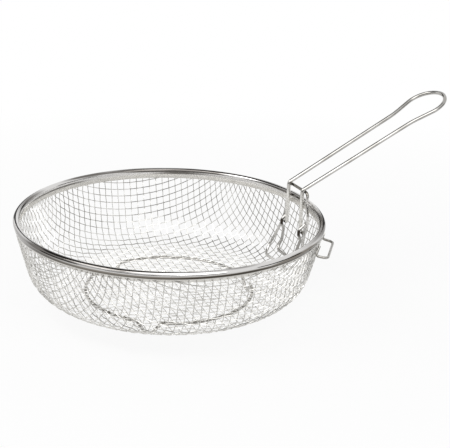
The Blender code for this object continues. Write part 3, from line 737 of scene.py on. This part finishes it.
def make_handle():
    """From pin to pin: rails up to the stop bar, where they bend outwards, a neck and a round grip."""
    axis = pin_axis()
    stop = Vector((STOP_RADIUS, 0.0, STOP_HEIGHT))
    bend = HANDLE_R + BRACKET_R + GAP
    to_stop = stop - axis
    rail_angle = math.atan2(to_stop.z, to_stop.x) + math.asin(bend / to_stop.length)
    half_turn = (rail_angle - HANDLE_TILT) / 2
    outwards = math.pi / 2 + (rail_angle + HANDLE_TILT) / 2
    corner = stop + Vector((math.cos(outwards), 0.0, math.sin(outwards))) * bend / math.cos(half_turn)
    forward = Vector((math.cos(HANDLE_TILT), 0.0, math.sin(HANDLE_TILT)))
    half = [
        (axis + Vector((0.0, PIN_HALF_SPAN, 0.0)), 0.0),
        (axis + Vector((0.0, RAIL_HALF_SPACING, 0.0)), PIN_BEND),
        (corner + Vector((0.0, RAIL_HALF_SPACING, 0.0)), bend),
        (corner + forward * NECK_REACH + Vector((0.0, NECK_HALF_SPACING, 0.0)), NECK_BEND),
    ]
    flare = math.asin(GRIP_RADIUS / math.hypot(NECK_TO_GRIP, NECK_HALF_SPACING))
    flare -= math.atan2(NECK_HALF_SPACING, NECK_TO_GRIP)
    for along, across in arc(GRIP_RADIUS, math.pi / 2 + flare, 0.0, GRIP_STEPS)[:-1]:
        half.append((corner + forward * (GRIP_CENTRE_REACH + along) + Vector((0.0, across, 0.0)), 0.0))
    tip = (corner + forward * (GRIP_CENTRE_REACH + GRIP_RADIUS), 0.0)
    path = rounded(half + [tip] + mirrored(half)[len(half):])
    # The rails are painted paler near the rim's height: a painted reflection
    material = wire_steel("handle_wire_steel", HANDLE_FINISH, other=PAINTED_REFLECTION_ON_RAILS)
    return wire("handle_wire", path, HANDLE_R, Vector((1.0, 0.0, 0.0)), material)


def make_bracket():
    """A closed wire: the stop bar over the rim, a leg on each side and the wide loop down the wall."""
    beside_bead = math.sqrt(RIM_RADIUS ** 2 - SHOULDER_HALF_WIDTH ** 2)
    rim_x = beside_bead - BEAD_RADIUS - BRACKET_R - GAP - FACET_SAG
    over_rim = [
        (on_wall(SHOULDER_HALF_WIDTH, SHOULDER_DEPTH, BRACKET_R), 0.0),
        (Vector((rim_x, SHOULDER_HALF_WIDTH, -BRACKET_RIM_DEPTH)), BRACKET_BEND),
        (Vector((rim_x, STOP_HALF_WIDTH, BRACKET_RIM_TOP)), BRACKET_BEND),
        (Vector((STOP_RADIUS, STOP_HALF_WIDTH, STOP_HEIGHT)), STOP_BEND),
    ]
    loop = [
        (Vector((0.0, -SHOULDER_HALF_WIDTH, -SHOULDER_DEPTH)), 0.0),
        (Vector((0.0, -WAIST_HALF_WIDTH, -PIN_DEPTH)), WAIST_BEND),
        (Vector((0.0, -WIDE_HALF_WIDTH, -WIDE_DEPTH)), WIDE_BEND),
        (Vector((0.0, -LOOP_FOOT_HALF_WIDTH, -LOOP_FOOT_DEPTH)), LOOP_FOOT_BEND),
    ]
    flat = finely(rounded(mirrored(loop)), LOOP_STEP)
    down_wall = [on_wall(point.y, -point.z, BRACKET_R) for point in flat]
    path = rounded(mirrored(over_rim)) + down_wall[1:-1]
    # The bracket is darker round the stop bar's height
    material = wire_steel("bracket_wire_steel", BRACKET_FINISH, other=DARK_STOP_BAR)
    return wire("bracket_wire", path, BRACKET_R, Vector((1.0, 0.0, 0.0)), material, closed=True)


def make_keeper():
    """A strap over each pin, joined by a bar lower on the wall."""
    crown_x = pin_axis().x - HANDLE_R - KEEPER_R - GAP
    tail_depth = PIN_DEPTH - STRAP_HALF_LENGTH - STRAP_TAIL
    half = [
        (on_wall(STRAP_HALF_SPACING, tail_depth, KEEPER_R), 0.0),
        (on_wall(STRAP_HALF_SPACING, PIN_DEPTH - STRAP_HALF_LENGTH, KEEPER_R), STRAP_BEND),
        (Vector((crown_x, STRAP_HALF_SPACING, STRAP_HALF_CROWN - PIN_DEPTH)), STRAP_BEND),
        (Vector((crown_x, STRAP_HALF_SPACING, -STRAP_HALF_CROWN - PIN_DEPTH)), STRAP_BEND),
        (on_wall(STRAP_HALF_SPACING, PIN_DEPTH + STRAP_HALF_LENGTH, KEEPER_R), STRAP_BEND),
        (on_wall(KEEPER_FOOT_HALF_WIDTH, KEEPER_KNEE_DEPTH, KEEPER_R), KEEPER_BEND),
        (on_wall(KEEPER_FOOT_HALF_WIDTH, KEEPER_FOOT_DEPTH, KEEPER_R), KEEPER_FOOT_BEND),
    ]
    # The keeper is painted nearly black where the straps pass over the pins: painted shade in the gap
    material = wire_steel("keeper_wire_steel", KEEPER_FINISH, other=PAINTED_SHADE_AT_PINS)
    return wire("keeper_wire", rounded(mirrored(half)), KEEPER_R, Vector((1.0, 0.0, 0.0)), material)


def make_hook():
    """A level ear outside the wall, whose ends turn towards each other along the weave."""
    on_mesh = -2 * WEAVE_WIRE_R - HOOK_R
    tab_end = HOOK_ROOT_HALF_WIDTH - HOOK_TAB
    tab_x = math.sqrt(wall_radius(HOOK_TAB_DEPTH, on_mesh) ** 2 - tab_end ** 2)
    root_x = math.sqrt(wall_radius(HOOK_ROOT_DEPTH, on_mesh) ** 2 - HOOK_ROOT_HALF_WIDTH ** 2)
    half = [
        (Vector((tab_x, tab_end, -HOOK_TAB_DEPTH)), 0.0),
        (Vector((root_x, HOOK_ROOT_HALF_WIDTH, -HOOK_ROOT_DEPTH)), HOOK_BEND / 2),
        (Vector((HOOK_REACH, HOOK_HALF_WIDTH, -HOOK_BAR_DEPTH)), HOOK_BEND),
    ]
    turn = Matrix.Rotation(HOOK_AZIMUTH, 3, "Z")
    path = [turn @ point for point in rounded(mirrored(half))]
    material = wire_steel("hook_wire_steel", HOOK_FINISH)
    return wire("hook_wire", path, HOOK_R, turn @ Vector((1.0, 0.0, 0.0)), material)


def make_weave():
    """All wires of the weave: the warp along one direction of the net and the weft along the other."""
    points, normals = whole_weave()
    material = wire_steel("weave_wire_steel", WEAVE_FINISH, draw=WEAVE_DRAW_NOISE)
    warp = add_mesh("weave_warp", *weave_wires(points, normals, 0), material)
    turned = np.swapaxes(points, 0, 1), np.swapaxes(normals, 0, 1)
    weft = add_mesh("weave_weft", *weave_wires(*turned, 1), material)
    return warp, weft


# Studio
def add_sheet(name, width, height, material):
    """A flat rectangle about the origin."""
    x, y = width / 2, height / 2
    return add_mesh(name, [(-x, -y, 0), (x, -y, 0), (x, y, 0), (-x, y, 0)], [(0, 1, 2, 3)], material)


def mix_shaders(nodes, links, share, first, second, output):
    """Lead two shaders to the output: the first where the share is 0 and the second where it is 1."""
    mix = nodes.new("ShaderNodeMixShader")
    links.new(share, mix.inputs[0])
    links.new(first.outputs[0], mix.inputs[1])
    links.new(second.outputs[0], mix.inputs[2])
    links.new(mix.outputs[0], output.inputs["Surface"])


def make_floor():
    """A pale floor that catches soft shadows near the basket and is plain white further out."""
    material, nodes, links, shader = principled("studio_floor_white")
    feed(links, (FLOOR_TONE,) * 3, shader.inputs["Base Color"])
    shader.inputs["Roughness"].default_value = FLOOR_ROUGHNESS
    glow = nodes.new("ShaderNodeEmission")
    glow.inputs["Strength"].default_value = 1.0
    away = nodes.new("ShaderNodeVectorMath")
    away.operation = "LENGTH"
    links.new(object_place(nodes), away.inputs[0])
    white = ranged(nodes, links, away.outputs["Value"], *GLOW_SHARES, GLOW_REACHES)
    ray = nodes.new("ShaderNodeLightPath").outputs
    seen = calculated(nodes, links, "MAXIMUM", ray["Is Camera Ray"], ray["Is Glossy Ray"])
    share = calculated(nodes, links, "MULTIPLY", seen, white)
    mix_shaders(nodes, links, share, shader, glow, nodes["Material Output"])
    floor = add_sheet("studio_floor", FLOOR_SIZE, FLOOR_SIZE, material)


def make_world():
    """Soft light from all sides, and a white background where it is seen or mirrored."""
    world = bpy.data.worlds.new("studio")
    world.use_nodes = True
    bpy.context.scene.world = world
    nodes = world.node_tree.nodes
    links = world.node_tree.links
    light = nodes["Background"]
    light.inputs["Color"].default_value = WHITE
    light.inputs["Strength"].default_value = WORLD_LIGHT
    background = nodes.new("ShaderNodeBackground")
    background.inputs["Color"].default_value = WHITE
    background.inputs["Strength"].default_value = 1.0
    ray = nodes.new("ShaderNodeLightPath").outputs
    seen = calculated(nodes, links, "MAXIMUM", ray["Is Camera Ray"], ray["Is Glossy Ray"])
    share = calculated(nodes, links, "MAXIMUM", seen, ray["Is Transmission Ray"])
    mix_shaders(nodes, links, share, light, background, nodes["World Output"])


def add_lamp(name, place, size, power):
    """A rectangular lamp that shines on the basket."""
    data = bpy.data.lights.new(name, "AREA")
    data.shape = "RECTANGLE"
    data.size, data.size_y = size
    data.energy = power
    lamp = bpy.data.objects.new(name, data)
    lamp.location = place
    lamp.rotation_euler = (LAMP_AIM - place).to_track_quat("-Z", "Y").to_euler()
    bpy.context.scene.collection.objects.link(lamp)


def add_board(name, place, aim, size):
    """A dark board that the camera does not see: polished metal shows it as a dark streak."""
    material, _, links, shader = principled(name + "_board")
    feed(links, (BOARD_TONE,) * 3, shader.inputs["Base Color"])
    shader.inputs["Roughness"].default_value = BOARD_ROUGHNESS
    card = add_sheet(name, *size, material)
    card.location = place
    card.rotation_euler = (aim - place).to_track_quat("Z", "Y").to_euler()
    card.visible_camera = False


def camera_axes():
    """Right, up and forward of the camera, turned so that the handle is on +X."""
    cosine, sine = math.cos(CAMERA_ELEVATION), math.sin(CAMERA_ELEVATION)
    right, up, forward = Vector((1, 0, 0)), Vector((0, sine, cosine)), Vector((0, cosine, -sine))
    turn = Matrix.Rotation(CAMERA_TURN, 3, "Z")
    return turn @ right, turn @ up, turn @ forward


def make_lights(centre):
    """Lamps and boards, placed from the rim's centre along the camera's level directions."""
    right, _, forward = camera_axes()
    level = Vector((forward.x, forward.y, 0.0)).normalized()
    for name, aside, ahead, rise, size, power in LAMPS:
        add_lamp(name, centre + right * aside + level * ahead + Vector((0, 0, rise)), size, power)
    for name, azimuth, reach, width, height in BOARDS:
        outward = right * math.cos(azimuth) + level * math.sin(azimuth)
        middle = Vector((centre.x, centre.y, height / 2)) + outward * reach
        add_board(name, middle, middle - outward, (width, height))
    above = centre + level * BOARD_ABOVE_SIDE - right * BOARD_ABOVE_SIDE + Vector((0, 0, BOARD_ABOVE_RISE))
    add_board("board_above", above, centre, BOARD_ABOVE_SIZE)


def make_camera(centre):
    """The camera that took the photograph, placed from the rim's centre and rolled a little."""
    right, up, forward = camera_axes()
    place = centre - forward * CAMERA_DISTANCE + right * CAMERA_RIGHT + up * CAMERA_UP
    cosine, sine = math.cos(CAMERA_ROLL), math.sin(CAMERA_ROLL)
    rolled_right = right * cosine + up * sine
    rolled_up = up * cosine - right * sine
    data = bpy.data.cameras.new("camera")
    data.lens = CAMERA_LENS
    data.sensor_width = CAMERA_SENSOR
    data.clip_end = CAMERA_FAR
    camera = bpy.data.objects.new("camera", data)
    rotation = Matrix((rolled_right, rolled_up, -forward)).transposed()
    camera.matrix_world = Matrix.Translation(place) @ rotation.to_4x4()
    bpy.context.scene.collection.objects.link(camera)
    bpy.context.scene.camera = camera


def make_pieces(centre):
    """Every piece with the node that it stands for and its material's slot."""
    rim, ring, handle = make_rim(centre), make_foot_ring(), make_handle()
    bracket, keeper, hook = make_bracket(), make_keeper(), make_hook()
    warp, weft = make_weave()
    return (
        (rim, "rim", "rim_steel"),
        (ring, "foot_ring", "foot_ring_steel"),
        (handle, "handle", "handle_steel"),
        (bracket, "handle_bracket", "bracket_steel"),
        (keeper, "pin_keeper", "keeper_steel"),
        (hook, "pan_rest_hook", "hook_steel"),
        (warp, "mesh_bowl", "woven_steel"),
        (weft, "mesh_bowl", "woven_steel"),
    )


def main():
    """Place every piece on the frame, then add the floor, the light and the camera."""
    low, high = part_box("rim")
    centre = Vector(((low[0] + high[0]) / 2, 0.0, RIM_HEIGHT))
    shift = Matrix.Translation(centre)
    for piece, node, slot in make_pieces(centre):
        piece.data.transform(shift)
        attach(piece, "handle" if node == "handle" else "basket")
        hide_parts(node)
    make_floor()
    make_world()
    make_lights(centre)
    make_camera(centre)
    bpy.context.scene.view_settings.view_transform = "Standard"


main()
